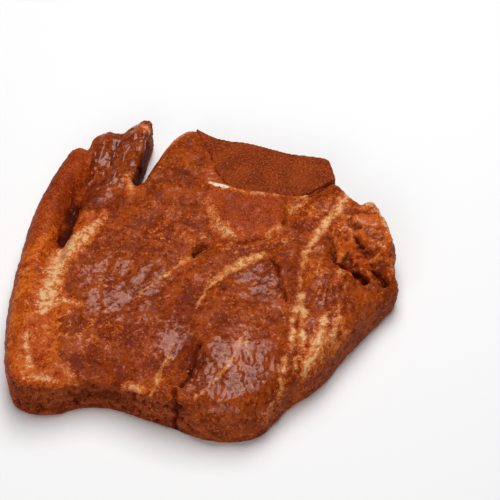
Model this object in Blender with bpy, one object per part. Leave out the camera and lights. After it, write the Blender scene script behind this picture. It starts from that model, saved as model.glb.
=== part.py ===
"""A thick raw pork chop, rind on its left side and a sawn bone plate at the back.

The slice lies on its flat underside. +X runs from the rind to the fat tip, +Y to the bone, +Z up.
Plain sizes and places are in millimetres; MM turns them into metres.
"""
import math

import bmesh
import bpy
import numpy as np
from mathutils import Vector, noise

MM = 0.001

# Driving sizes
THICKNESS = 22.0          # height of the slice over its flat lean
BONE_HEIGHT = 21.6        # height of the sawn bone plate
BONE_EDGE = 0.7           # bevel on the bone's sawn edges
GAP = 0.3                 # clearance between the bone and the meat round it
FOOT_RADIUS = 3.5         # roundness of the slice's lower edge
SINK = 1.5                # depth below the board that is trimmed off flat
WOBBLE = 0.5              # natural unevenness of the top
WOBBLE_SPACING = 17.0     # distance between its swells
GRID = 1.7                # size of the mesh squares while the slice is shaped
MEAT_TRIANGLES = 7600     # triangles left in the finished meat
SPAN_STEPS = 6            # steps between two outline points

# The slice's outline from above, clockwise. Each stretch has the roundness of its upper edge.
OUTLINE = (
    ("rind, rear end", 5.0, ((-65, 72.5), (-58.5, 78.5), (-54, 77))),
    ("rear flap", 4.0, ((-54, 83), (-49, 88), (-39, 89.5), (-31, 95), (-25, 93.5))),
    ("slit", 3.0, ((-26, 84), (-30, 66), (-32.5, 52), (-28.5, 52), (-23, 65), (-17, 77))),
    ("bone side", 1.8, ((-12, 83), (-5, 86.5), (7, 79.8), (24, 76), (41, 70), (57, 67.5), (62.5, 54.5))),
    ("fat tip", 5.0, ((69, 45.5), (74.5, 38.5), (80, 40), (85.5, 29), (89, 14), (88, 2), (89, -7))),
    ("right flank", 8.0, ((78, -21), (64.5, -38), (53, -54), (41, -63), (35, -70))),
    ("round front", 13.0, ((27, -79), (15, -82), (2, -80.5))),
    ("front cut", 3.0, ((-11, -75), (-24, -70), (-38, -64.5), (-52, -64))),
    ("rind, front end", 4.5, ((-62, -67.5), (-74, -67), (-83, -59))),
    ("rind side", 9.0, ((-86.5, -32), (-85.5, -8), (-82, 18), (-77.5, 42))),
)
MIDDLE = (1.4, 6.6)       # the middle of the outline's box, which becomes the origin

# The bone plate from above: the edge that meets the meat, then the free rear edge.
BONE_IN_MEAT = ((-3.5, 86.4), (3, 72), (9, 54), (18, 46.8), (34, 43.8), (46, 44), (55, 49.5), (62.3, 54.8))
BONE_FREE = ((62.3, 54.8), (60.5, 62), (57.5, 66.8), (41, 69.8), (24, 75.8), (7, 79.6), (-3.5, 86.4))
BONE_CUTTER_REACH = 25.0  # how far the bone's cutter runs past the rear edge

# Swells and hollows of the top: centre, radii, turn in degrees, rise
SWELLS = (
    ("front muscle", (13, -44), (24, 32), 15, 2.2),
    ("left muscle", (-40, -30), (26, 30), 0, 0.9),
    ("right muscle", (58, -12), (14, 34), 35, 1.4),
    ("lean by the bone", (-12, 52), (16, 26), 10, 1.2),
    ("cartilage plate", (22, 32), (17, 13), 0, 1.3),
    ("fat tip lumps", (76, 24), (10, 13), 0, 1.8),
    ("fat fold", (62, 30), (9, 14), 30, 1.3),
    ("hollow by the front muscle", (-10, -50), (8, 15), -20, -2.8),
    ("hollow under the cartilage", (2, 16), (7, 10), 0, -1.6),
    ("low rear flap", (-42, 80), (20, 24), 0, -4.5),
    ("low front cut", (-42, -62), (20, 12), 0, -3.0),
    ("low right flank", (80, -10), (14, 14), 0, -3.0),
)

# Ridges and creases of the top: route, width, rise
FOLDS = (
    ("rind ridge", ((-58, 68), (-68, 48), (-74, 15), (-77, -15), (-77, -45)), 6.5, 1.6),
    ("rim of the fat tip", ((76, 36.5), (80, 37.5), (84, 28), (86, 16)), 2.2, 1.4),
    ("beside the rind", ((-49, 63), (-57, 48), (-61, 33), (-63.5, 21), (-67, 5)), 3.4, -6.5),
    ("bone to fat tip", ((64, 56), (56, 47.5), (48, 41.5), (41, 33)), 2.6, -3.5),
    ("long seam", ((62, 33), (49, 12), (45, -8), (42.5, -28), (38.5, -50), (34, -69)), 3.0, -1.6),
    ("middle seam", ((28, 7.5), (11, -3), (4.5, -11), (-1.5, -23)), 3.4, -1.2),
    ("left seam", ((2.5, 13), (-4, 7), (-16, -4), (-30, -19)), 3.0, -1.2),
    ("fat tip crease", ((60, 12), (61.5, 4), (66, 0.5), (74, -6.5)), 2.6, -2.8),
)


def smooth_path(knots, closed):
    """Points of a smooth curve through the knots, as rows of an array."""
    rows = np.array(knots, dtype=float)
    count = len(rows)
    spans = count if closed else count - 1
    path = []
    for span in range(spans):
        if closed:
            before, start, end, after = (rows[(span + k) % count] for k in (-1, 0, 1, 2))
        else:
            before, start, end, after = (rows[min(max(span + k, 0), count - 1)] for k in (-1, 0, 1, 2))
        for step in range(SPAN_STEPS):
            t = step / SPAN_STEPS
            path.append(0.5 * (2 * start + (end - before) * t
                               + (2 * before - 5 * start + 4 * end - after) * t ** 2
                               + (3 * start - before - 3 * end + after) * t ** 3))
    if not closed:
        path.append(rows[-1])
    return np.array(path)


def slice_outline():
    """The slice's outline with its upper edge's roundness: x, y and radius in each row."""
    knots = [(x, y, radius) for _, radius, points in OUTLINE for x, y in points]
    return smooth_path(knots, closed=True)


def nearest_on_path(points, path, closed):
    """For each point: its distance to the path, and the values of the path's row there."""
    ends = np.roll(path, -1, axis=0) if closed else path[1:]
    starts = path if closed else path[:-1]
    best = np.full(len(points), np.inf)
    values = np.zeros((len(points), path.shape[1]))
    for start, end in zip(starts, ends):
        run = end[:2] - start[:2]
        share = np.clip((points - start[:2]) @ run / max(run @ run, 1e-9), 0.0, 1.0)
        there = start + share[:, None] * (end - start)
        distance = np.hypot(*(points - there[:, :2]).T)
        closer = distance < best
        best[closer] = distance[closer]
        values[closer] = there[closer]
    return best, values


def top_relief(points):
    """Height of the swells, folds and natural wobble above the plain slice."""
    relief = np.zeros(len(points))
    for _, centre, (long, wide), turn, rise in SWELLS:
        away = points - centre
        cosine, sine = math.cos(math.radians(turn)), math.sin(math.radians(turn))
        along = (away[:, 0] * cosine + away[:, 1] * sine) / long
        across = (away[:, 1] * cosine - away[:, 0] * sine) / wide
        relief += rise * np.exp(-(along ** 2 + across ** 2))
    for _, route, width, rise in FOLDS:
        distance, _ = nearest_on_path(points, smooth_path(route, closed=False), closed=False)
        relief += rise * np.exp(-(distance / width) ** 2)
    swells = [noise.noise(Vector((x, y, 0.0)) / WOBBLE_SPACING) for x, y in points]
    return relief + WOBBLE * 2.0 * np.array(swells)


def edge_drop(distance, radius):
    """Fall of a rounded edge of this radius, at this distance in from the wall."""
    share = np.clip(distance / radius, 0.0, 1.0)
    return radius * (1.0 - np.sqrt(1.0 - (1.0 - share) ** 2))


def evaluated(piece, kind, **settings):
    """Run one modifier on the piece and keep its result as the piece's mesh."""
    modifier = piece.modifiers.new(kind.title(), kind)
    for setting, value in settings.items():
        setattr(modifier, setting, value)
    graph = bpy.context.evaluated_depsgraph_get()
    mesh = bpy.data.meshes.new_from_object(piece.evaluated_get(graph))
    piece.modifiers.clear()
    piece.data = mesh


def prism(name, outline, bottom, top):
    """A closed upright block on the outline, from bottom to top."""
    form = bmesh.new()
    base = form.faces.new([form.verts.new((x * MM, y * MM, bottom * MM)) for x, y in outline])
    lid = bmesh.ops.extrude_face_region(form, geom=[base])["geom"]
    rise = [part for part in lid if isinstance(part, bmesh.types.BMVert)]
    bmesh.ops.translate(form, verts=rise, vec=(0, 0, (top - bottom) * MM))
    bmesh.ops.recalc_face_normals(form, faces=form.faces)
    mesh = bpy.data.meshes.new(name)
    form.to_mesh(mesh)
    form.free()
    piece = bpy.data.objects.new(name, mesh)
    bpy.context.scene.collection.objects.link(piece)
    return piece


def coat(piece, name, colour, roughness):
    """Give the piece its own finish."""
    finish = bpy.data.materials.new(name)
    finish.use_nodes = True
    shader = finish.node_tree.nodes["Principled BSDF"]
    shader.inputs["Base Color"].default_value = (*colour, 1.0)
    shader.inputs["Roughness"].default_value = roughness
    shader.inputs["Metallic"].default_value = 0.0
    piece.data.materials.clear()
    piece.data.materials.append(finish)


def shape_slice(piece, outline):
    """Turn the plain block into the slice: rounded edges, and the relief of its top."""
    mesh = piece.data
    flat = np.empty(len(mesh.vertices) * 3)
    mesh.vertices.foreach_get("co", flat)
    spots = flat.reshape(-1, 3) / MM
    distance, nearest = nearest_on_path(spots[:, :2], outline, closed=True)
    top = THICKNESS + top_relief(spots[:, :2]) - edge_drop(distance, nearest[:, 2])
    bottom = edge_drop(distance, FOOT_RADIUS) - SINK
    spots[:, 2] = bottom + (top - bottom) * spots[:, 2] / THICKNESS
    mesh.vertices.foreach_set("co", (spots * MM).ravel())
    mesh.update()


def trim_underside(piece):
    """Cut the slice off flat at the board, and close it with one face."""
    form = bmesh.new()
    form.from_mesh(piece.data)
    everything = [*form.verts, *form.edges, *form.faces]
    bmesh.ops.bisect_plane(form, geom=everything, plane_co=(0, 0, 0), plane_no=(0, 0, 1), clear_inner=True)
    rim = [edge for edge in form.edges if edge.is_boundary]
    bmesh.ops.contextual_create(form, geom=rim)
    bmesh.ops.recalc_face_normals(form, faces=form.faces)
    form.to_mesh(piece.data)
    form.free()


def build_bone():
    """The sawn bone plate: flat sawn faces, and a rounded free edge at the back."""
    inner = smooth_path(BONE_IN_MEAT, closed=False)
    free = smooth_path(BONE_FREE, closed=False)
    bone = prism("bone", np.vstack((inner[:-1], free[:-1])), 0.0, BONE_HEIGHT)
    form = bmesh.new()
    form.from_mesh(bone.data)
    sawn = [edge for edge in form.edges if abs(edge.verts[0].co.z - edge.verts[1].co.z) < GAP * MM]
    bmesh.ops.bevel(form, geom=sawn, offset=BONE_EDGE * MM, segments=2, affect="EDGES", profile=0.5)
    form.to_mesh(bone.data)
    form.free()
    coat(bone, "bone", (0.24, 0.075, 0.03), 0.6)
    return bone


def bone_cutter():
    """The room for the bone: its inner edge moved out by the gap, and run far past the rear."""
    inner = smooth_path(BONE_IN_MEAT, closed=False)
    run = np.gradient(inner, axis=0)
    outward = np.column_stack((run[:, 1], -run[:, 0])) / np.hypot(*run.T)[:, None]
    inner = inner + GAP * outward
    reach = inner[[-1, 0]] + (0.0, BONE_CUTTER_REACH)
    cutter = prism("bone room", np.vstack((inner, reach)), -SINK, THICKNESS * 2)
    cutter.hide_render = True
    cutter.display_type = "WIRE"
    return cutter


def build_meat(bone_room):
    """Lean, fat and rind as one solid, with its room for the bone."""
    outline = slice_outline()
    meat = prism("meat", outline[:, :2], 0.0, THICKNESS)
    evaluated(meat, "REMESH", mode="VOXEL", voxel_size=GRID * MM)
    shape_slice(meat, outline)
    evaluated(meat, "SMOOTH", iterations=3)
    meat.data.calc_loop_triangles()
    share = MEAT_TRIANGLES / len(meat.data.loop_triangles)
    evaluated(meat, "DECIMATE", ratio=share)
    trim_underside(meat)
    room = meat.modifiers.new("Bone room", "BOOLEAN")
    room.operation = "DIFFERENCE"
    room.solver = "EXACT"
    room.object = bone_room
    coat(meat, "marinated meat", (0.27, 0.055, 0.015), 0.35)
    return meat


def main():
    for old in list(bpy.data.objects):
        bpy.data.objects.remove(old)
    chop = bpy.data.objects.new("chop", None)
    bpy.context.scene.collection.objects.link(chop)
    room = bone_cutter()
    for piece in (build_meat(room), build_bone(), room):
        piece.parent = chop
    chop.location = (-MIDDLE[0] * MM, -MIDDLE[1] * MM, 0.0)


main()
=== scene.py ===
import itertools
import math
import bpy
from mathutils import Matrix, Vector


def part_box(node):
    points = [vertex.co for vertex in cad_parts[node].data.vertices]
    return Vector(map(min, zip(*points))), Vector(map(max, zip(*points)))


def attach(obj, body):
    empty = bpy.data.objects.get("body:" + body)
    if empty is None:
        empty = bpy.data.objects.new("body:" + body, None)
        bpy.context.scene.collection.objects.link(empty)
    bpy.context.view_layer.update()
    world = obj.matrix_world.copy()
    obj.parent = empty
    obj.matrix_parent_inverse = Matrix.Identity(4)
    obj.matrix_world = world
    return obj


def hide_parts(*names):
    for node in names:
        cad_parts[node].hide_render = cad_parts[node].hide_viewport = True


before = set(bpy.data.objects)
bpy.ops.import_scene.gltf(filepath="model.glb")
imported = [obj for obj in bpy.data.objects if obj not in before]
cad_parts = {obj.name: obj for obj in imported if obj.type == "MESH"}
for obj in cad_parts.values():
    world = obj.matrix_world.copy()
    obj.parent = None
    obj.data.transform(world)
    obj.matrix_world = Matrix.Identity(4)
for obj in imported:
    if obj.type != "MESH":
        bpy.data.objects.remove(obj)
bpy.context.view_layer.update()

from types import SimpleNamespace

import bmesh
import bpy
import numpy as np
from mathutils import Vector

# A raw pork chop in a wet red-brown marinade. Places on it are millimetres in the frame of the CAD
# slice, whose origin is the middle of its underside; MM turns them into metres.
MM = 0.001

# ---------------------------------------------------------------- sizes
MEAT_GRID = 0.71          # mesh squares of the meat
BONE_GRID = 0.6           # mesh squares of the bone
MEAT_ROUNDS = 10          # rounds of smoothing that take the facets off
BONE_ROUNDS = 3
TOP_LIMIT = 23.7          # above this height the top is eased down
TOP_EASE = 0.6            # as far as the top can rise over its limit
FOOT_CUT = 0.25           # height at which the meat is cut off flat
KNOT_STEPS = 4            # steps between two knots of a streak or groove
STREAK_REACH = 12.0       # how far a streak's distance is worked out
SPICE_GRAINS = 2048
DROPS = 64
FLOOR_SIZE = 3000.0
CAMERA_ELEVATION = 50.0   # degrees above the board
CAMERA_DISTANCE = 900.0
CAMERA_TARGET = (21.1, 21.4, 0.0)
FRAME_WIDTH = 235.0       # what the camera takes in at the target
ROOM_LIGHT = 0.12
# name, elevation, azimuth, distance, size and watts
LAMPS = (
    ("overhead_softbox", 71, 12, 900, (500, 820), 8.2),
    ("front_fill", 32, 195, 1200, (700, 700), 4.2),
)

CHANCE = np.random.default_rng(12)
SLOPES = CHANCE.normal(size=(4096, 3))
SLOPES /= np.linalg.norm(SLOPES, axis=1, keepdims=True)
CELL_KEYS = np.array((1619, 31337, 6971))   # spread neighbouring cells over the slopes

# ---------------------------------------------------------------- routes and patches
# Each knot of a streak is x, y and the streak's half width there.
SEAMS_AND_PAINTED_HIGHLIGHT = (
    ((1, 6, 1.2), (-5.5, 0.5, 1.6), (-11.5, -5.5, 1.2), (-17, -11, 1.0), (-24.5, -19, 0.8),
     (-31.5, -26.5, 0.3)),
    ((28, 1, 1.8), (18, -4, 2.8), (9.5, -10.5, 2.2), (3, -18, 1.0), (-3, -31, 0.4)),
    ((17, -49, 1.0), (15, -55.5, 1.1), (12.5, -62, 1.1), (7.5, -68.5, 1.0), (2.5, -75, 0.8),
     (-2.5, -80, 0.5)),
    ((-13, -50.5, 0.3), (-15, -59, 0.8), (-18, -66.5, 1.4), (-19.5, -73, 1.2), (-22.5, -77.5, 0.8)),
    ((62, 27, 2.4), (55.5, 18.5, 2.2), (48, 5.5, 1.8), (46, -4, 1.2), (43.5, -14.5, 0.6), (43, -26, 2.0),
     (41, -34, 1.8), (39, -50.5, 1.4), (37, -57, 1.2), (34.5, -71, 1.2), (32.5, -76.5, 1.0),
     (27.5, -84, 0.6)),
    ((43.5, -26, 1.8), (44.5, -37.5, 1.8), (43.5, -51, 1.5), (41.5, -59, 1.0), (39.5, -65, 0.4)),
    ((19, -50, 0.6), (20, -55.5, 0.7), (21, -59.5, 0.3)),
    ((55, -33, 0.5), (53.5, -41, 1.8), (50, -51, 2.4), (46, -60, 2.0), (43.5, -68, 0.8)),
    # painted highlight: a glossy line on the right, drawn in the seams' tan and cream
    ((61, -28, 0.6), (59, -38, 1.2), (55.5, -48, 1.2), (52, -56, 0.6)),
    ((56, 10, 0.2), (53, -2, 0.4), (52, -14, 0.2)),
)
BARE_FAT = (
    ((-46, 26, 0.8), (-49.5, 20, 2.0), (-53, 14.5, 3.4), (-57.5, 9, 4.8), (-62, 5, 5.8), (-65.5, -1, 5.0),
     (-67, -9, 4.4), (-67.5, -17, 4.2), (-69.5, -26, 4.4), (-71, -33, 2.6)),
    ((-65, -26.5, 2.4), (-60, -27, 1.5), (-54, -29, 0.4)),
    ((-77, -46, 1.0), (-76, -54, 1.8), (-74.5, -63, 1.6)),
    ((-78, -69, 0.8), (-70, -68, 1.6), (-61.5, -70, 1.2)),
    ((-60, -63, 0.7), (-54.5, -70, 0.8)),
    ((-32, -72, 1.6), (-26, -74.5, 1.4)),
    ((62, 25.5, 1.6), (66, 36.5, 2.2)),
    ((55.5, 18.5, 1.8), (51, 12, 1.4)),
    ((73.5, 27.5, 1.6), (77, 30.5, 2.4), (81, 26.5, 2.8), (84, 18.5, 2.8), (85, 11.5, 1.6)),
    ((39.5, 27.5, 1.0), (43, 32, 1.9), (47, 37, 1.6)),
    ((1.5, 33, 0.5), (3, 25.5, 0.9), (6, 18, 1.6), (11, 12, 2.2), (16, 9.5, 1.0)),
    ((30, 11, 0.8), (34.5, 16, 1.2)),
    ((61.5, -36, 0.4), (61, -42, 0.7)),
    ((54.5, -34, 0.6), (53, -42, 2.0), (50, -51, 2.6), (46.5, -60, 2.0), (43.5, -68, 0.8)),
    ((63, -8, 0.5), (60, -14, 1.0), (57, -20, 0.4)),
    ((63.5, -42, 0.3), (61, -47, 0.7), (57, -52, 0.4)),
    ((10, 41, 0.7), (18, 37.5, 0.7), (28, 36, 0.8), (36, 36, 0.7)),
    ((-22, 62, 0.2), (-15, 72, 0.5), (-8, 77.5, 0.5)),
    ((-30, 82, 0.9), (-27, 78, 1.2)),
    ((-36.5, 50, 0.5), (-35.5, 44, 0.9), (-34, 38, 0.7)),
)
CHIP = ((2.5, 43.5, 0.8), (6.5, 41.6, 1.5), (11, 39.8, 0.5))

# Closed outlines, whose last point is the first again, and the edge of the bone's seat.
RIND = ((-54.5, 90), (-54, 62), (-56, 50), (-60, 36), (-64, 18), (-69, 2), (-75, -16), (-79, -36),
        (-81.5, -56), (-82, -100), (-120, -100), (-120, 90), (-54.5, 90))
FAT_SIDE = ((-47, 27), (-51, 12), (-59, 4), (-62, -6), (-61, -20), (-53, -29), (-62, -36), (-62, -46),
            (-62, -56), (-56, -63), (-52, -72), (-60, -90), (-90, -90), (-90, -10), (-75, 10), (-66, 22),
            (-56, 26), (-47, 27))
TORN_CUT = ((-84, -62), (-13, -60), (-13, -100), (-84, -100), (-84, -62))
SHIELD = ((2.5, 43), (1.5, 32.5), (3, 25.5), (6, 18), (11, 11), (16.5, 8.5), (23.5, 9.5), (30.5, 11.5),
          (35, 17), (37.5, 28), (36.5, 35), (28, 37), (17, 39), (9, 42.5), (2.5, 43))
BONE_SEAT = ((-4, 79), (-2, 69), (0.5, 58), (2.5, 50), (7, 44.5), (12, 42), (20, 39), (30, 37.5),
             (38, 37.5), (46, 39.5), (52, 42), (57, 46), (61, 51))

# The routes, widths and heights of what stands up or is sunk in.
RAISED = (
    ("left fold of the flap", ((-47, 80), (-49, 72), (-50, 64), (-49.5, 57)), 2.6, 1.5),
    ("right fold of the flap", ((-30, 70), (-36.5, 66.5), (-40, 58), (-42.5, 50), (-45, 42)), 3.0, 1.5),
    ("lump at the flap's end", ((-29, 79), (-25, 84)), 4.0, 1.8),
    ("fork in the flap", ((-55, 57), (-53, 50.5), (-50, 58)), 1.3, 0.8),
    ("curled fat tip", ((-46.5, 26), (-49.5, 20), (-53, 14)), 1.6, 1.0),
    ("crumb below the flap", ((-40.5, 38.5), (-39, 37.5)), 1.6, 1.1),
    ("lump by the groove", ((-56, 24.5), (-52, 25.5)), 1.8, 0.8),
    ("notch lumps", ((-35, 45), (-33.5, 37), (-37.5, 33)), 1.5, 0.7),
    ("lump below the bone", ((39.5, 27.5), (43, 32), (47, 37)), 1.9, 1.2),
    ("rim of the fat tip", ((74.5, 28), (77.5, 31), (82, 27.5), (85, 19), (86, 12)), 1.4, 0.8),
    ("lump on the fat tip", ((64, -1), (68, -4.5), (72, -8)), 2.0, 1.0),
    ("lip beside the bone", ((-5, 79), (-3, 69), (-0.6, 58), (1.4, 50)), 1.0, 0.5),
    ("swelling left of the seam", ((-22, -6), (-30, -14)), 5.0, 0.7),
)
GROOVES = (
    ("between the flap's folds", ((-43, 72), (-45, 62), (-47, 52), (-49, 45)), 1.8, 1.2),
    ("below the left seam", ((-2, -4), (-8, -9), (-15, -15.5), (-23, -24)), 1.6, 0.7),
    ("beside the rind", ((-60, 35), (-61.5, 27), (-64, 17), (-66, 10)), 1.9, 2.2),
    ("between rind and flap", ((-52, 68), (-53.5, 56), (-56, 45), (-59, 37)), 1.6, 0.8),
    ("under the bone", ((61, 49.5), (57.5, 44.5), (54, 41), (48, 37.5), (42.5, 32.5)), 0.9, 1.2),
    ("fat tip crevice", ((59, 4), (59.5, -3), (64, -5.5), (68.5, -8), (73, -12.5)), 1.1, 3.0),
    ("fat tip pit", ((69.5, 9), (72.5, 5.5)), 1.2, 2.2),
    ("fat tip hole", ((77, -7), (80, -10), (82.5, -14)), 1.9, 4.0),
    ("hole in the left seam", ((1, 6.5), (-2, 4.5), (-5, 1)), 1.2, 3.0),
    ("right crease", ((30, -2), (33.5, -8), (35, -16.5), (37.5, -27)), 0.7, 1.8),
    ("crack in the hollow", ((-2, -52), (-3, -59.5), (-5, -66), (-8.5, -73)), 1.1, 2.4),
    ("second crack", ((1.5, -56), (-0.5, -62.5), (-5, -71)), 0.8, 1.5),
    ("small arc", ((-9, -39.5), (-6, -38), (-3, -39)), 0.8, 1.0),
    ("small nick", ((7.5, -24), (9, -20)), 0.7, 1.0),
    ("edge of the cartilage", ((3.5, 24), (6, 17), (11, 10), (16.5, 7.5), (23.5, 8.5), (31, 10.5),
                               (36, 16.5), (38.5, 28)), 0.9, 0.9),
    ("cross crease", ((18, -49), (23.5, -48.5), (30, -48)), 0.7, 0.7),
    ("front wall crease", ((-11, -86), (-12, -76)), 1.2, 1.8),
)
# Smooth pools of marinade: centre, radii and turn.
POOLS = (
    ((-45, 31), (9, 4.5), -15),
    ((-43, 60), (10, 18), -20),
    ((-14, -52), (3.5, 7), 10),
    ((31, -58), (3.5, 11), -20),
    ((26, -76), (3, 6), 0),
    ((-44, -61), (16, 5), 0),
    ((18, 27), (12, 10), 0),
)
# Places painted darker through the shade mask, partly painted shade in clefts and hollows and partly a
# deeper colour: centre, radii, turn and share.
DIM = (
    ((-52, 38), (5, 13), 15, 0.6),
    ((40, -14), (4, 18), 8, 0.4),
    ((56, 8), (5, 8), 0, 0.35),
    ((-45, 31), (12, 5), -10, 0.3),
    ((-44, -63), (28, 8), 0, 0.35),
    ((-33, -43), (14, 10), 0, 0.35),
    ((-10, -30), (12, 6), 40, 0.3),
    ((-3, -60), (7, 17), 10, 0.5),
    ((28, -18), (8, 14), 0, 0.2),
    ((-12, 47), (9, 5), 20, 0.2),
    ((56, -22), (5, 10), 0, 0.35),
    ((20, 26), (18, 14), 0, 0.25),
    ((-67, 45), (12, 30), 15, 0.35),
)
# Small places that lean towards the front and catch the light: centre, radii, turn and slope.
TILTED = (
    ((-14, -52), (4, 8), 10, 0.13),
    ((31, -58), (4, 12), -20, 0.13),
    ((26, -75), (4, 7), 0, 0.13),
    ((-37, 62), (5, 8), -15, 0.3),
    ((-49.5, 65), (4, 9), 0, 0.3),
    ((-43, 50), (4, 7), 0, 0.2),
)
# Patches with more fat between the fibres, wetter ones and duller ones: centre, radii, turn and share.
FATTY = (
    ((50, 24), (14, 10), 35, 0.6),
    ((-17, 66), (14, 5), 50, 0.5),
    ((-30, 80), (7, 7), 0, 0.4),
    ((-12, 12), (22, 6), -12, 0.45),
    ((24, 6), (20, 7), 0, 0.5),
    ((-44, -44), (22, 14), 10, 0.42),
    ((52, -10), (9, 26), 10, 0.42),
    ((50, -50), (9, 20), -15, 0.5),
)
WET = (
    ((-12, -50), (10, 18), 0, 0.6),
    ((25, -15), (14, 16), 0, 0.6),
)
MATT = (
    ((-46, -62), (26, 9), 0, 1.0),
    ((-30, -42), (16, 12), 0, 1.0),
)


def smooth_path(knots, steps=6):
    """Points of a smooth open curve through the knots, as rows of an array."""
    rows = np.array(knots, dtype=float)
    last = len(rows) - 1
    path = []
    for span in range(last):
        before, start, end, after = (rows[min(max(span + k, 0), last)] for k in (-1, 0, 1, 2))
        for t in np.arange(steps) / steps:
            path.append(0.5 * (2 * start + (end - before) * t
                               + (2 * before - 5 * start + 4 * end - after) * t ** 2
                               + (3 * start - before - 3 * end + after) * t ** 3))
    return np.array(path + [rows[-1]])


def nearest_on_path(points, path, reach=1000.0):
    """For each point: its distance to the path in plan, up to the reach, and the path's row there."""
    best = np.full(len(points), reach)
    values = np.tile(path[0], (len(points), 1))
    low, high = path[:, :2].min(0) - reach, path[:, :2].max(0) + reach
    close = np.flatnonzero(np.all((points[:, :2] > low) & (points[:, :2] < high), axis=1))
    plan = points[close, :2]
    for start, end in zip(path[:-1], path[1:]):
        run = end[:2] - start[:2]
        share = np.clip((plan - start[:2]) @ run / max(run @ run, 1e-9), 0.0, 1.0)
        there = start + share[:, None] * (end - start)
        distance = np.hypot(*(plan - there[:, :2]).T)
        closer = distance < best[close]
        best[close[closer]] = distance[closer]
        values[close[closer]] = there[closer]
    return best, values


def streak(points, knots, softness):
    """1 well inside a streak, 0.5 at its edge, and 0 well outside."""
    distance, there = nearest_on_path(points, smooth_path(knots, KNOT_STEPS), STREAK_REACH)
    return np.clip(0.5 + (there[:, 2] - distance) / softness, 0.0, 1.0)


def streaks(points, routes, softness):
    """The same for several streaks."""
    return np.max([streak(points, knots, softness) for knots in routes], axis=0)


def groove(points, route, width):
    """1 along the route, falling to 0 over about twice the width."""
    distance, _ = nearest_on_path(points, smooth_path(route, KNOT_STEPS), 4.0 * width)
    return np.exp(-(distance / width) ** 2)


def patch(points, centre, radii, turn=0.0):
    """1 in the middle of an oval patch, falling to 0 outside it."""
    away = points[:, :2] - centre
    cosine, sine = math.cos(math.radians(turn)), math.sin(math.radians(turn))
    along = (away[:, 0] * cosine + away[:, 1] * sine) / radii[0]
    across = (away[:, 1] * cosine - away[:, 0] * sine) / radii[1]
    return np.exp(-(along ** 2 + across ** 2) ** 1.5)


def patches(points, places):
    """The strongest of several patches, each with its share."""
    return np.max([share * patch(points, centre, radii, turn) for centre, radii, turn, share in places],
                  axis=0)


def strayed(points, size, reach):
    """The points shifted about in plan, so that routes and outlines on them turn out uneven."""
    shifts = [swells(points, size, 2, offset) for offset in (101.0, 211.0)]
    return points + reach * np.column_stack((*shifts, np.zeros(len(points))))


def lattice(spots):
    """Smooth noise from about -1 to 1 on a grid of unit cells, each corner with its own slope."""
    cell = np.floor(spots).astype(np.int64)
    inner = spots - cell
    ease = inner ** 3 * (inner * (inner * 6.0 - 15.0) + 10.0)
    total = np.zeros(len(spots))
    for corner in itertools.product((0, 1), repeat=3):
        slopes = SLOPES[(cell + corner) @ CELL_KEYS % len(SLOPES)]
        pull = ((inner - corner) * slopes).sum(axis=1)
        total += pull * np.prod(np.where(corner, ease, 1.0 - ease), axis=1)
    return total * 1.7        # stretched to reach about 1


def swells(points, size, depth=1, offset=0.0):
    """Smooth noise from about -1 to 1, whose lumps measure about the size."""
    return sum(0.5 ** k * lattice(points / size * 2 ** k + offset + 17.3 * k) for k in range(depth))


def ridges(points, size, offset=0.0):
    """Sharp-crested noise from 0 to 1."""
    return 1.0 - np.abs(lattice(points / size + offset))


def between(values, low, high):
    """0 below low, 1 above high, and smooth between."""
    share = np.clip((values - low) / (high - low), 0.0, 1.0)
    return share * share * (3.0 - 2.0 * share)


def turned(points, degrees, along, across):
    """Plan coordinates turned and squeezed, so that noise on them makes fibres."""
    angle = math.radians(degrees)
    x = points[:, 0] * math.cos(angle) + points[:, 1] * math.sin(angle)
    y = points[:, 1] * math.cos(angle) - points[:, 0] * math.sin(angle)
    return np.column_stack((x / along, y / across, points[:, 2] / across))


def inside(points, outline, softness):
    """1 inside a closed outline, 0 outside, and smooth over the softness at its edge."""
    path = smooth_path(outline)
    distance, _ = nearest_on_path(points, path)
    within = np.zeros(len(points), dtype=bool)
    x, y = points[:, 0], points[:, 1]
    for (ax, ay), (bx, by) in zip(path[:-1], path[1:]):
        if ay != by:
            crosses = ((ay > y) != (by > y)) & (x < (bx - ax) * (y - ay) / (by - ay) + ax)
            within ^= crosses
    return between(np.where(within, distance, -distance), -softness, softness)


# ---------------------------------------------------------------- pieces
def evaluated(piece, kind, **settings):
    """Run one modifier on the piece and keep its result as the piece's mesh."""
    modifier = piece.modifiers.new(kind.title(), kind)
    for setting, value in settings.items():
        setattr(modifier, setting, value)
    graph = bpy.context.evaluated_depsgraph_get()
    mesh = bpy.data.meshes.new_from_object(piece.evaluated_get(graph))
    piece.modifiers.clear()
    piece.data = mesh


def new_piece(name, form):
    """An object from a finished bmesh."""
    mesh = bpy.data.meshes.new(name)
    form.to_mesh(mesh)
    form.free()
    piece = bpy.data.objects.new(name, mesh)
    bpy.context.scene.collection.objects.link(piece)
    return piece


def fine_copy(node, name, grid, rounds):
    """A copy of a CAD node as fine even squares, with its facets smoothed away."""
    form = bmesh.new()
    form.from_mesh(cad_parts[node].data)
    bmesh.ops.remove_doubles(form, verts=form.verts, dist=1e-6)
    piece = new_piece(name, form)
    evaluated(piece, "REMESH", mode="VOXEL", voxel_size=grid * MM)
    evaluated(piece, "SMOOTH", iterations=rounds)
    return piece


def read_points(piece):
    """The piece's points in millimetres, and the normals there."""
    mesh = piece.data
    places = np.empty(len(mesh.vertices) * 3, dtype=np.float32)
    mesh.vertices.foreach_get("co", places)
    normals = np.array([vertex.normal for vertex in mesh.vertices])
    return places.reshape(-1, 3).astype(float) / MM, normals


def write_points(piece, points):
    """Move the piece's points to these places in millimetres."""
    piece.data.vertices.foreach_set("co", (points * MM).astype(np.float32).ravel())
    piece.data.update()


def write_mask(piece, name, values):
    """Keep a value for each point, for the finish to read."""
    mask = piece.data.attributes.new(name, "FLOAT", "POINT")
    mask.data.foreach_set("value", values.astype(np.float32))


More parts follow.
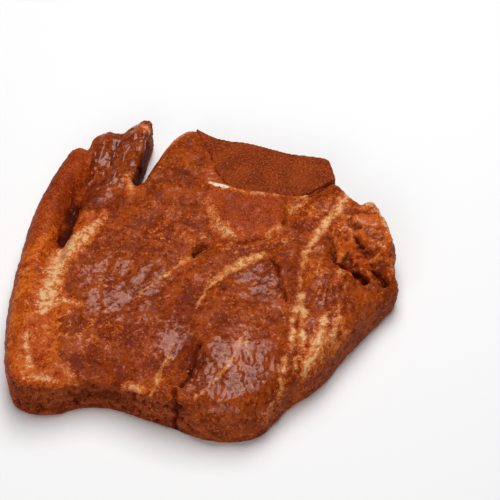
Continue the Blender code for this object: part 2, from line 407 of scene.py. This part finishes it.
def flat_foot(piece, height):
    """Cut the piece off flat a little above the board's plane, drop it there and close it with one face."""
    form = bmesh.new()
    form.from_mesh(piece.data)
    everything = [*form.verts, *form.edges, *form.faces]
    bmesh.ops.bisect_plane(form, geom=everything, plane_co=(0, 0, height * MM), plane_no=(0, 0, 1),
                           clear_inner=True)
    rim = [edge for edge in form.edges if edge.is_boundary]
    bmesh.ops.contextual_create(form, geom=rim)
    for vertex in form.verts:
        if vertex.co.z < (height + 0.001) * MM:
            vertex.co.z = 0.0
    bmesh.ops.recalc_face_normals(form, faces=form.faces)
    form.to_mesh(piece.data)
    form.free()


def dress(piece, material):
    """Give the piece smooth faces and one material."""
    for face in piece.data.polygons:
        face.use_smooth = True
    piece.data.materials.clear()
    piece.data.materials.append(material)


# ---------------------------------------------------------------- finishes
def colour(red, green, blue):
    """A screen colour from 0 to 255 as a linear colour."""
    return tuple((c / 255 / 12.92 if c < 10.3 else ((c / 255 + 0.055) / 1.055) ** 2.4)
                 for c in (red, green, blue)) + (1.0,)


class Tone:
    """A value on its way through a finish: arithmetic on it adds Math nodes."""

    def __init__(self, finish, socket):
        self.finish = finish
        self.socket = socket

    def math(self, operation, *values):
        return self.finish.node("ShaderNodeMath", {"operation": operation}, dict(enumerate(values)))

    def __add__(self, other):
        return self.math("ADD", self, other)

    def __sub__(self, other):
        return self.math("SUBTRACT", self, other)

    def __rsub__(self, other):
        return self.math("SUBTRACT", other, self)

    def __mul__(self, other):
        return self.math("MULTIPLY", self, other)

    __radd__ = __add__
    __rmul__ = __mul__

    def fade(self, low, high):
        """0 below low, 1 above high, and smooth between."""
        return self.finish.node("ShaderNodeMapRange", {"interpolation_type": "SMOOTHSTEP"},
                                {"Value": self, "From Min": low, "From Max": high})


class Finish:
    """A material, with one method that adds any node to it."""

    def __init__(self, name, **constants):
        self.material = bpy.data.materials.new(name)
        self.material.use_nodes = True
        self.tree = self.material.node_tree
        self.shader = self.tree.nodes["Principled BSDF"]
        for socket, value in constants.items():
            self.shader.inputs[socket.replace("_", " ")].default_value = value
        place = self.node("ShaderNodeTexCoord", output="Object")
        self.place = self.node("ShaderNodeVectorMath", {"operation": "SCALE"},
                               {"Vector": place, "Scale": 1 / MM})

    def node(self, kind, settings=None, inputs=None, output=0):
        """Add a node with its settings and the values or links of its sockets."""
        node = self.tree.nodes.new(kind)
        for setting, value in (settings or {}).items():
            setattr(node, setting, value)
        for socket, value in (inputs or {}).items():
            self.feed(node.inputs[socket], value)
        return Tone(self, node.outputs[output])

    def feed(self, socket, value):
        """Link a tone to the socket, or set the socket to a value."""
        if isinstance(value, Tone):
            self.tree.links.new(value.socket, socket)
        else:
            socket.default_value = value

    def into(self, **values):
        """Feed the shader's own sockets."""
        for socket, value in values.items():
            self.feed(self.shader.inputs[socket.replace("_", " ")], value)

    def mask(self, name):
        """A value that was kept for each point of the piece."""
        return self.node("ShaderNodeAttribute", {"attribute_name": name}, output="Fac")

    def stretched(self, lengths, turn=0.0):
        """Coordinates for fibres: so many times longer along each axis, with the axes turned about the
        vertical."""
        return self.node("ShaderNodeMapping", {"vector_type": "TEXTURE"},
                         {"Vector": self.place, "Scale": lengths,
                          "Rotation": (0.0, 0.0, math.radians(turn))})

    def grain(self, size, detail=2.0, roughness=0.5, warp=0.0, place=None):
        """Noise whose lumps measure about the size, in millimetres."""
        return self.node("ShaderNodeTexNoise", None,
                         {"Vector": place or self.place, "Scale": 1 / size, "Detail": detail,
                          "Roughness": roughness, "Distortion": warp})

    def pebbles(self, size):
        """Distance to the nearest of many scattered points."""
        return self.node("ShaderNodeTexVoronoi", {"feature": "F1"},
                         {"Vector": self.place, "Scale": 1 / size}, output="Distance")

    def blend(self, share, first, second, way="MIX"):
        """The first colour where the share is 0, and the second where it is 1."""
        return self.node("ShaderNodeMix", {"data_type": "RGBA", "blend_type": way},
                         {0: share, 6: first, 7: second}, output=2)

    def bump(self, height, depth, below=None):
        """A bump as deep as the depth, in millimetres, over any bump below it."""
        inputs = {"Height": height, "Distance": depth * MM, "Strength": 1.0}
        if below:
            inputs["Normal"] = below
        return self.node("ShaderNodeBump", None, inputs)


LEAN_DEEP, LEAN = colour(114, 38, 5), colour(162, 68, 13)
LEAN_FLECK, LEAN_DARK = colour(200, 96, 36), colour(80, 20, 4)
FIBRE = colour(186, 92, 42)
SLANT_LIGHT, SLANT_DARK = colour(192, 96, 42), colour(90, 26, 4)
SKIN_DEEP, SKIN, SKIN_DARK = colour(126, 42, 8), colour(184, 78, 20), colour(112, 34, 6)
FAT_RED, FAT_ORANGE, FAT_FLECK = colour(164, 60, 8), colour(200, 96, 24), colour(226, 146, 72)
TAN_DEEP, TAN = colour(176, 92, 36), colour(204, 128, 70)
CREAM_DEEP, CREAM = colour(186, 104, 46), colour(222, 172, 120)
CUT_DEEP, CUT = colour(84, 26, 6), colour(160, 70, 32)
CUT_DARK, CUT_LIGHT = colour(72, 20, 5), colour(186, 96, 50)
CHIP_WHITE, SPECK = colour(226, 212, 196), colour(226, 132, 54)
# the second colour here is painted shade for the valleys of the relief, partly marinade lying thicker there
WET_DARK, VALLEY_SHADE = colour(84, 24, 5), colour(92, 26, 4)
SHADE_WARM, SHADE_DARK = colour(196, 128, 96), colour(54, 12, 2)


def meat_finish():
    """Lean, fat, rind and torn cut under a red-brown marinade, wet in places, with painted shade in its
    valleys, grooves and hollows and one painted highlight line.
    """
    finish = Finish("marinated_pork", Metallic=0.0, IOR=1.14, Coat_Roughness=0.11, Coat_IOR=1.34)
    fat, bare, rind = finish.mask("fat"), finish.mask("bare_fat"), finish.mask("rind")
    cut, shade, film = finish.mask("cut_side"), finish.mask("shadow"), finish.mask("film")
    fibre, smooth = finish.mask("fibre"), finish.mask("smooth")
    seam, matt, relief = finish.mask("seam"), finish.mask("matt"), finish.mask("relief")

    # grain, from coarse to fine
    broad = finish.grain(11.0, 3.0, 0.55, 0.4)
    middle = finish.grain(3.6, 3.0, 0.55, 0.6)
    flecks = finish.grain(1.7, 2.0, 0.6, 0.8)
    fine = finish.grain(0.7, 1.0, 0.6)
    strands = finish.grain(1.7, 1.0, 0.45, 0.7, finish.stretched((1.0, 2.8, 1.4), 7))
    slanting = finish.grain(1.3, 1.0, 0.5, 0.7, finish.stretched((4.0, 1.0, 1.0), 43))
    layers = finish.grain(4.0, 2.0, 0.5, 0.8, finish.stretched((3.3, 3.3, 1.0)))
    specks = finish.pebbles(1.3)
    mottle = (middle - 0.5) * 0.9 + (flecks - 0.5) * 1.3 + (fine - 0.5) * 0.7
    speckle = (fine - 0.5) * 1.6 + (flecks - 0.5) * 0.7
    stained = (middle - 0.5) * 0.6 + speckle * 0.6
    patchy = middle + mottle * 0.4
    freckled = middle * 0.5 + 0.25 + speckle * 0.6
    wet = (film + (broad - 0.5) * 1.2 + (middle - 0.5) * 0.9 + (flecks - 0.5) * 0.9).fade(0.3, 0.65)
    dry = 1.0 - wet

    # the tissues
    lean = finish.blend((broad + mottle * 0.5).fade(0.3, 0.7), LEAN_DEEP, LEAN)
    lean = finish.blend((mottle + 0.5).fade(0.6, 1.0) * (1.0 - smooth) * 0.7, lean, LEAN_FLECK)
    lean = finish.blend((0.5 - mottle).fade(0.6, 1.0) * 0.6, lean, LEAN_DARK)
    lean = finish.blend(strands.fade(0.55, 0.75) * fibre * 0.4, lean, FIBRE)
    grained = film.fade(0.2, 0.6) * (1.0 - fibre)
    lean = finish.blend(slanting.fade(0.54, 0.7) * grained * 0.45, lean, SLANT_LIGHT)
    lean = finish.blend((1.0 - slanting).fade(0.54, 0.7) * grained * 0.35, lean, SLANT_DARK)
    skin = finish.blend(freckled.fade(0.25, 0.75), SKIN_DEEP, SKIN)
    skin = finish.blend(broad.fade(0.45, 0.7) * 0.45, skin, SKIN_DARK)
    orange = finish.blend((broad + mottle * 0.3).fade(0.3, 0.7), FAT_RED, FAT_ORANGE)
    orange = finish.blend((mottle + 0.5).fade(0.6, 1.0) * 0.8, orange, FAT_FLECK)
    tan = finish.blend(patchy.fade(0.35, 0.65), TAN_DEEP, TAN)
    pale = finish.blend(patchy.fade(0.3, 0.6), CREAM_DEEP, CREAM)
    torn = finish.blend(freckled.fade(0.2, 0.75), CUT_DEEP, CUT)
    torn = finish.blend(layers.fade(0.5, 0.68) * 0.6, torn, CUT_DARK)
    torn = finish.blend((1.0 - layers).fade(0.52, 0.66) * 0.35, torn, CUT_LIGHT)

    # where each tissue shows
    surface = finish.blend(cut * 0.9, lean, torn)
    surface = finish.blend((rind + mottle * 0.4).fade(0.4, 0.6), surface, skin)
    surface = finish.blend((fat + mottle * 0.9 + relief * 0.3).fade(0.35, 0.85), surface, orange)
    surface = finish.blend((bare + stained * 0.6).fade(0.1, 0.5), surface, orange)
    # the seam mask also draws one painted highlight line on the right, in tan and cream
    surface = finish.blend((seam + stained * 0.6).fade(0.35, 0.8), surface, tan)
    surface = finish.blend((bare + stained).fade(0.4, 1.0), surface, pale)
    surface = finish.blend((seam + stained * 1.2).fade(0.85, 1.2), surface, pale)
    surface = finish.blend((bare + (flecks - 0.5) * 0.3).fade(1.15, 1.4), surface, CHIP_WHITE)

    # spice, wet marinade, and painted shade in valleys, grooves and hollows over them
    spiced = (1.0 - specks).fade(0.7, 0.86) * flecks.fade(0.45, 0.55)
    surface = finish.blend(spiced * 0.55, surface, SPECK)
    surface = finish.blend(wet * (1.0 - bare) * 0.15, surface, WET_DARK)
    # painted shade: darker in the valleys of the relief, partly marinade lying thicker there
    surface = finish.blend((relief * -1.0).fade(0.1, 0.9) * (1.0 - bare) * 0.7, surface, VALLEY_SHADE)
    surface = finish.blend(shade, surface, SHADE_WARM, "MULTIPLY")
    surface = finish.blend(shade * shade, surface, SHADE_DARK)

    roughness = 0.25 + dry * 0.25 + fine * 0.05 + shade * 0.3 + cut * 0.2 + matt * 0.1
    flat = 1.0 - smooth * 0.85
    ripples = finish.grain(1.8, 0.7, 0.45, 0.7)
    waves = finish.grain(3.6, 1.0, 0.5, 0.5)
    lumps = finish.bump((ripples * (1.0 - fibre) + strands * fibre) * flat * (0.3 + wet * 0.7), 0.5)
    lumps = finish.bump(waves * flat, 0.5, lumps)
    crumbs = finish.bump((fine + flecks + specks * 0.3) * dry * flat, 0.1, lumps)
    finish.into(Base_Color=surface, Roughness=roughness, Coat_Weight=wet * (0.5 + film * 0.4) + 0.05,
                Normal=crumbs)
    return finish.material


BONE_DEEP, BONE_BROWN = colour(116, 42, 8), colour(144, 58, 16)
GRIT_LIGHT, GRIT_DARK = colour(186, 96, 50), colour(88, 28, 4)
WALL_DARK, WALL_LIGHT = colour(78, 24, 6), colour(186, 104, 56)


def bone_finish():
    """Gritty sawn bone, stained by the marinade, with paler edges."""
    finish = Finish("sawn_bone", Metallic=0.0, IOR=1.12)
    rim, walls = finish.mask("rim"), finish.mask("wall")
    broad = finish.grain(10.0, 3.0, 0.5)
    middle = finish.grain(1.8, 3.0, 0.6)
    grit = finish.grain(0.9, 2.0, 0.6)
    layers = finish.grain(5.0, 2.0, 0.5, 0.8, finish.stretched((2.5, 2.5, 1.0)))
    pores = finish.pebbles(0.85)
    stain = finish.blend((broad + (middle - 0.5) * 0.6).fade(0.3, 0.7), BONE_DEEP, BONE_BROWN)
    stain = finish.blend(grit.fade(0.5, 0.72) * 0.65, stain, GRIT_LIGHT)
    stain = finish.blend((1.0 - grit).fade(0.52, 0.7) * 0.7, stain, GRIT_DARK)
    stain = finish.blend(layers.fade(0.48, 0.7) * walls * 0.35, stain, WALL_DARK)
    stain = finish.blend((1.0 - layers).fade(0.5, 0.68) * walls * 0.3, stain, WALL_LIGHT)
    stain = finish.blend((rim + (middle - 0.5) * 0.8).fade(0.5, 0.75), stain, WALL_LIGHT)
    coarse = finish.bump(middle, 0.3)
    sawn = finish.bump(grit + pores * 0.5, 0.35, coarse)
    finish.into(Base_Color=stain, Roughness=0.42 - broad * 0.15, Normal=sawn)
    return finish.material


SPICE_DARK, SPICE_RED, SPICE_PALE = colour(76, 20, 5), colour(168, 68, 18), colour(206, 120, 54)
DROP_DEEP, DROP_CLEAR = colour(140, 52, 14), colour(176, 80, 28)
PAPER = colour(244, 244, 244)


def spice_finish():
    """Dark, red and pale grains of spice."""
    finish = Finish("ground_paprika", Metallic=0.0, IOR=1.25, Roughness=0.5)
    kind = finish.grain(1.6, 0.0)
    shade = finish.blend(kind.fade(0.42, 0.5), SPICE_DARK, SPICE_RED)
    finish.into(Base_Color=finish.blend(kind.fade(0.6, 0.64), shade, SPICE_PALE))
    return finish.material


def drop_finish():
    """Glossy, slightly cloudy marinade."""
    finish = Finish("marinade", Metallic=0.0, IOR=1.33, Roughness=0.06)
    cloud = finish.grain(3.0).fade(0.4, 0.6)
    finish.into(Base_Color=finish.blend(cloud, DROP_DEEP, DROP_CLEAR))
    return finish.material


# ---------------------------------------------------------------- meat and bone
def find_parts(points, normals):
    """How far each point of the meat belongs to each part of it, from 0 to 1, and the strayed points."""
    at = SimpleNamespace()
    at.spots = strayed(points, 6.0, 1.0)
    at.crumbly = strayed(at.spots, 2.6, 0.7)
    at.top = between(normals[:, 2], 0.25, 0.75)
    at.side = (1.0 - at.top) * between(points[:, 2], 0.4, 2.5)
    at.flank = between(-normals[:, 0], 0.2, 0.7)
    at.tip = patch(points, (73, 7), (17, 24), 10)
    at.flap = patch(points, (-41, 64), (14, 30), -20)
    at.front = patch(points, (15, -68), (27, 30), 15)
    at.right = patch(points, (57, -30), (15, 34), -15)
    at.left_lean = patch(points, (-36, -18), (26, 24), 0)
    at.shield = inside(points, SHIELD, 0.8)
    at.rind = inside(points, RIND, 1.5)
    at.fat_side = inside(points, FAT_SIDE, 2.5)
    at.torn = inside(points, TORN_CUT, 4.0)
    at.skin = np.maximum(at.top, at.front * between(normals[:, 2], -0.3, 0.3))
    at.pores = at.torn * at.side * between(swells(points, 2.4, 1, 23.0), 0.25, 0.6)
    at.pools = np.max([patch(points, centre, radii, turn) for centre, radii, turn in POOLS], axis=0)
    at.film = np.maximum.reduce((1.1 * at.flap, 0.62 * at.front, 0.62 * at.left_lean, 0.42 * at.right,
                                 patches(points, WET), 0.45 * at.tip, np.full(len(points), 0.22)))
    low, high = (np.array(corner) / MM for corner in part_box("bone"))
    at.seat = np.all((points > low - 0.8) & (points < high + (0.8, 0.8, 3.0)), axis=1) & (at.side > 0.5)
    at.seat &= nearest_on_path(points, smooth_path(BONE_SEAT, 1))[0] < 1.5
    return at


def top_relief(points, at):
    """Crumbs on the fat tip, folds along the fibres and soft lumps, in millimetres."""
    crumble = at.tip * (1.0 * swells(points, 10.0, 1, 3.0) + 2.0 * swells(points, 6.5, 2, 5.0)
                        + 1.3 * swells(points, 3.2, 2, 9.0))
    folds = at.flap * (1.5 * ridges(turned(points, 65, 16.0, 5.0), 1.0, 2.0) ** 2 - 0.6)
    folds += at.front * 0.5 * (ridges(turned(points, 97, 6.5, 2.6), 1.0, 4.0) ** 2 - 0.4)
    folds += at.right * 0.8 * (ridges(turned(points, 70, 20.0, 3.8), 1.0, 6.0) ** 2 - 0.4)
    folds += at.left_lean * 0.2 * swells(turned(points, 40, 3.6, 2.2), 1.0, 1, 21.0)
    lumps = 0.5 * swells(points, 8.0, 2) + 0.2 * swells(points, 3.0, 1, 7.0) * (1.0 - at.shield)
    return crumble + folds + lumps


def wet_ripples(points, at):
    """Fine ripples that break up the gloss, lengthwise on the front muscle and flat in the pools."""
    ripple = (1.0 - at.front) * swells(points, 1.5, 1, 41.0)
    ripple += at.front * swells(turned(points, 97, 3.0, 1.1), 1.0, 1)
    ripple = (0.7 * ripple + 0.6 * swells(points, 0.95, 1, 43.0)) * (1.0 - 0.65 * at.flap)
    return 0.24 * ripple * at.skin * (1.0 - 0.8 * at.pools) * (0.7 + 0.3 * at.film)


def shape_meat(points, normals, at):
    """Sculpt the points of the meat in place."""
    rise = at.top * at.relief + 0.7 * at.shield * at.top + wet_ripples(points, at)
    rise += at.rind * (0.22 * swells(points, 2.4, 2, 3.0) + 0.35 * swells(points, 8.0, 1, 11.0))
    rise += 0.25 * streaks(at.spots, SEAMS_AND_PAINTED_HIGHLIGHT, 2.0) * at.top
    for _, route, width, height in RAISED:
        rise += height * groove(at.spots, route, width) * at.top
    for _, route, width, depth in GROOVES:
        rise -= depth * groove(at.crumbly, route, width) * np.maximum(at.top, 0.5)
    for centre, radii, turn, slope in TILTED:
        rise += slope * (points[:, 1] - centre[1]) * patch(points, centre, radii, turn) * at.top
    # torn, uneven sides, cut back under the top edge at the front left
    rough = (1.0 - 0.7 * at.flank) * at.side
    rise += rough * (0.7 * swells(points, 5.0, 3, 13.0) + 0.35 * swells(points, 1.8, 1, 17.0))
    undercut = at.torn * at.side * between(points[:, 2], 2.0, 8.0)
    rise -= undercut * (1.3 + 1.1 * swells(points, 4.0, 2, 19.0)) + 0.9 * at.pores
    # the side that faces the bone closes up to it, and the underside stays flat
    rise[at.seat] = 0.12
    rise *= 1.0 - between(-normals[:, 2], 0.5, 0.9)
    points += normals * rise[:, None]
    points[:, 2] = np.maximum(points[:, 2], 0.0)
    over = np.maximum(points[:, 2] - TOP_LIMIT, 0.0)
    points[:, 2] += TOP_EASE * np.tanh(over / TOP_EASE) - over


def mask_meat(meat, points, normals, at):
    """Keep where each look of the meat goes."""
    facing_up = between(normals[:, 2], 0.0, 0.6)
    bare = 1.6 * streak(points, CHIP, 1.2) + streaks(at.spots, BARE_FAT, 5.0) * facing_up
    fat = np.maximum.reduce((0.9 * streaks(at.spots, SEAMS_AND_PAINTED_HIGHLIGHT, 4.5), 0.8 * at.fat_side * at.top,
                             0.8 * at.tip, patches(points, FATTY), 0.1 * at.shield))
    # heights of the top's lumps: the finish paints shade into their low parts and turns their crests more
    # orange
    write_mask(meat, "relief", np.clip(at.relief / 1.2, -1.0, 1.0) * at.top)
    write_mask(meat, "film", at.film)
    write_mask(meat, "fibre", np.maximum(at.front, at.right))
    write_mask(meat, "smooth", np.maximum(at.pools, 0.8 * at.shield))
    write_mask(meat, "matt", patches(points, MATT))
    write_mask(meat, "fat", fat)
    write_mask(meat, "bare_fat", bare)
    broken = 0.98 + 0.65 * swells(points, 5.0, 2, 31.0)
    # the seam streaks include one painted highlight line on the right
    write_mask(meat, "seam", streaks(at.crumbly, SEAMS_AND_PAINTED_HIGHLIGHT, 2.8) * broken * facing_up)
    rind = np.maximum(at.rind * (1.0 - 0.8 * at.torn * at.side), 0.9 * at.shield * at.top)
    write_mask(meat, "rind", rind)
    low_down = (0.4 - 0.25 * at.front) * between(18.0 - points[:, 2], 0, 8)
    bared = at.side * (1.0 - at.rind * (1.0 - at.torn))
    write_mask(meat, "cut_side", bared * np.maximum(at.torn, low_down))
    # painted shade: darker in the grooves (more so the deeper they are), on the walls of the slit by the
    # flap, in the pores of the torn cut and in the dim patches
    deep = np.max([min(depth / 2.2, 1.0) * groove(at.crumbly, route, width * 0.9)
                   for _, route, width, depth in GROOVES], axis=0)
    slit_shade = patch(points, (-27, 60), (9, 22), -20) * at.side
    shadow = np.maximum.reduce((deep * 1.1, 0.75 * slit_shade, patches(points, DIM), 0.7 * at.pores))
    write_mask(meat, "shadow", np.clip(shadow, 0.0, 0.98))


def build_meat():
    """The sculpted meat, with the spice and the drops that lie on it."""
    meat = fine_copy("meat", "marinated_meat", MEAT_GRID, MEAT_ROUNDS)
    points, normals = read_points(meat)
    at = find_parts(points, normals)
    at.relief = top_relief(points, at)
    shape_meat(points, normals, at)
    write_points(meat, points)
    at.film *= at.skin * (1.0 - 0.8 * at.rind)
    mask_meat(meat, points, normals, at)
    build_spice(points, normals, at.top * (1.0 - 0.8 * streaks(points, BARE_FAT, 5.0)))
    build_drops(points, normals, at.film * at.top * (1.0 - streaks(points, BARE_FAT, 8.0)))
    flat_foot(meat, FOOT_CUT)
    dress(meat, meat_finish())
    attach(meat, "root")
    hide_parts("meat")


def build_bone():
    """The sawn bone, gritty on top and layered on its walls."""
    bone = fine_copy("bone", "sawn_bone_plate", BONE_GRID, BONE_ROUNDS)
    points, normals = read_points(bone)
    bone_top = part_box("bone")[1][2] / MM
    top = between(normals[:, 2], 0.4, 0.8)
    side = (1.0 - np.abs(normals[:, 2])) * between(points[:, 2], 0.5, 2.0)
    bevel = between(normals[:, 2], 0.1, 0.4) * (1.0 - top) * between(points[:, 2], 19.0, 20.5)
    rise = top * (0.14 * swells(points, 1.7, 2, 2.0) + 0.25 * swells(points, 9.0, 1))
    rise += side * (0.45 + 0.3 * swells(points, 5.0, 3, 8.0)) + bevel * 0.3
    points += normals * rise[:, None]
    points[:, 2] = np.maximum(points[:, 2], 0.0)
    write_points(bone, points)
    rim = 1.0 - between(bone_top - points[:, 2], 0.2, 1.2)
    write_mask(bone, "rim", (1.0 - top) * rim)
    write_mask(bone, "wall", 1.0 - top)
    dress(bone, bone_finish())
    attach(bone, "root")
    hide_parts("bone")


# ---------------------------------------------------------------- spice and drops
def scatter(name, places, normals, sizes, sink, rounds):
    """Rounded grains on a surface: each is as long, wide and high as its row of sizes, part sunk in.
    Their number is a power of two."""
    form = bmesh.new()
    bmesh.ops.create_icosphere(form, subdivisions=rounds, radius=0.5)
    shape = np.array([vertex.co for vertex in form.verts])
    grains = bpy.data.meshes.new(name)
    for _ in range(int(math.log2(len(places)))):
        form.to_mesh(grains)
        form.from_mesh(grains)
    for face in form.faces:
        face.smooth = True
    piece = new_piece(name, form)
    sideways = CHANCE.normal(size=(len(places), 3))
    along = np.cross(normals, sideways)
    along /= np.linalg.norm(along, axis=1, keepdims=True)
    frames = np.stack((along, np.cross(normals, along), normals), axis=1)
    local = shape[None] * sizes[:, None] + (0.0, 0.0, 1.0) * (sizes[:, None, 2:] * (0.5 - sink))
    write_points(piece, (np.einsum("gvi,gij->gvj", local, frames) + places[:, None]).reshape(-1, 3))
    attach(piece, "root")
    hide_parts("meat")
    return piece


def chosen(chances, count):
    """So many different points, drawn by their chances."""
    return CHANCE.choice(len(chances), size=count, replace=False, p=chances / chances.sum())


def build_spice(points, normals, chances):
    """Coarse paprika and pepper."""
    spots = chosen(chances, SPICE_GRAINS)
    widths = CHANCE.uniform(0.35, 0.75, (SPICE_GRAINS, 1))
    sizes = widths * CHANCE.uniform((0.7, 0.5, 0.4), (1.3, 0.9, 0.7), (SPICE_GRAINS, 3))
    spice = scatter("ground_spice", points[spots], normals[spots], sizes, 0.25, 1)
    spice.data.materials.append(spice_finish())


def build_drops(points, normals, wet):
    """Beads of marinade on the wettest places."""
    spots = chosen(wet ** 2, DROPS)
    widths = CHANCE.uniform(0.7, 1.7, DROPS) ** 1.5
    sizes = np.column_stack((widths * 1.2, widths, widths * 0.45))
    drops = scatter("marinade_drops", points[spots], normals[spots], sizes, 0.35, 2)
    drops.data.materials.append(drop_finish())


# ---------------------------------------------------------------- the studio
def build_studio():
    """A pale floor, a faint white room and two soft lamps."""
    bpy.context.scene.view_settings.view_transform = "Standard"
    form = bmesh.new()
    bmesh.ops.create_grid(form, x_segments=1, y_segments=1, size=FLOOR_SIZE / 2 * MM)
    floor = new_piece("pale_floor", form)
    paper = Finish("pale_paper", Roughness=0.9)
    paper.into(Base_Color=PAPER)
    floor.data.materials.append(paper.material)

    world = bpy.data.worlds.new("soft_room")
    bpy.context.scene.world = world
    world.use_nodes = True
    room = world.node_tree.nodes["Background"].inputs
    room["Color"].default_value = (1.0, 1.0, 1.0, 1.0)
    room["Strength"].default_value = ROOM_LIGHT
    for lamp in LAMPS:
        softbox(*lamp)


def softbox(name, elevation, azimuth, distance, size, power):
    """A soft lamp aimed at the chop. Azimuth 0 is behind it, and 90 is to its right."""
    rise, turn = math.radians(elevation), math.radians(azimuth)
    aim = Vector((math.sin(turn) * math.cos(rise), math.cos(turn) * math.cos(rise), math.sin(rise)))
    lamp = bpy.data.lights.new(name, "AREA")
    lamp.shape = "RECTANGLE"
    lamp.size, lamp.size_y = (side * MM for side in size)
    lamp.energy = power
    holder = bpy.data.objects.new(name, lamp)
    holder.location = aim * distance * MM
    holder.rotation_euler = aim.to_track_quat("Z", "Y").to_euler()
    bpy.context.scene.collection.objects.link(holder)


def build_camera():
    """A long lens from the front, above the board."""
    rise = math.radians(CAMERA_ELEVATION)
    lens = bpy.data.cameras.new("camera")
    lens.angle = 2 * math.atan(FRAME_WIDTH / 2 / CAMERA_DISTANCE)
    lens.clip_start = 0.05
    camera = bpy.data.objects.new("camera", lens)
    away = Vector((0.0, -math.cos(rise), math.sin(rise))) * CAMERA_DISTANCE
    camera.location = (Vector(CAMERA_TARGET) + away) * MM
    camera.rotation_euler = (math.pi / 2 - rise, 0.0, 0.0)
    bpy.context.scene.collection.objects.link(camera)
    bpy.context.scene.camera = camera


build_meat()
build_bone()
build_studio()
build_camera()
